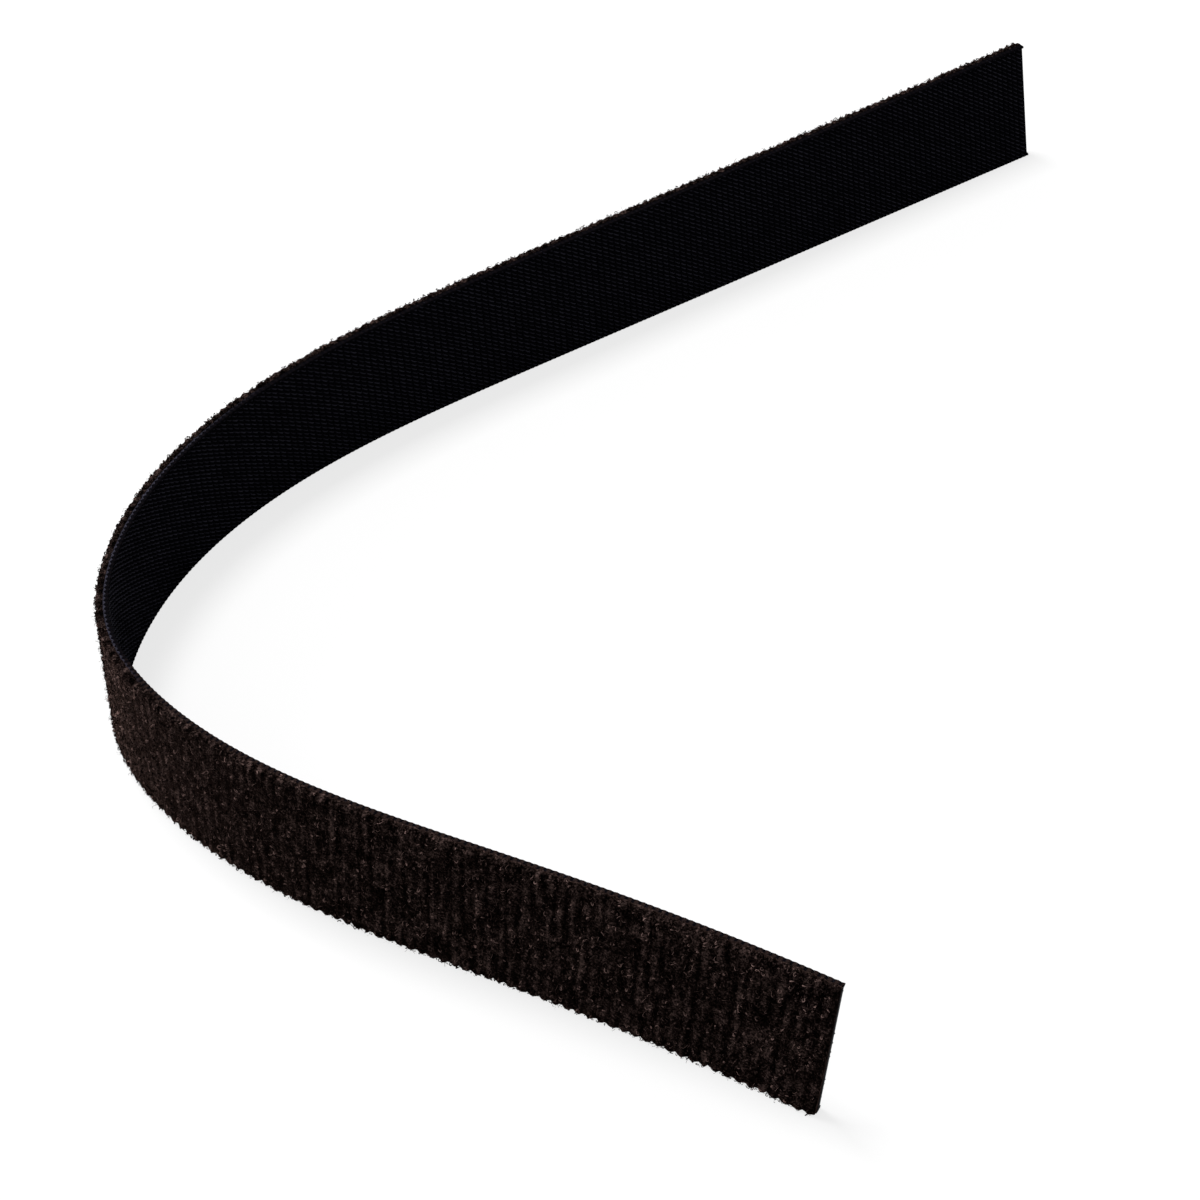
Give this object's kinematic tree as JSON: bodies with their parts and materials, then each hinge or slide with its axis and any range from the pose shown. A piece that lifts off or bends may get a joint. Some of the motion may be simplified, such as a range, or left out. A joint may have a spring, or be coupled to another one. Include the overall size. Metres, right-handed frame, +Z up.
{
  "type": "hook and loop cable tie",
  "caption": "Reusable back-to-back hook and loop cable tie, hooks inside and soft loop pile outside, standing on its edge in an open bend.",
  "frame": {"origin": "bottom centre of the bounding box, on the surface that the strap stands on", "axes": "+Z up, across the strap's width; +Y along the longest extent, towards the far end; +X from the bend towards the open side"},
  "size_m": [0.147, 0.2158, 0.02],
  "materials": {
    "hook_tape": "near-black nylon hooks in fine rows, dull",
    "loop_tape": "warm black brushed loop pile, fuzzy"
  },
  "bodies": {
    "root": {"hook_tape": "hook_tape", "loop_tape": "loop_tape"}
  },
  "joints": []
}
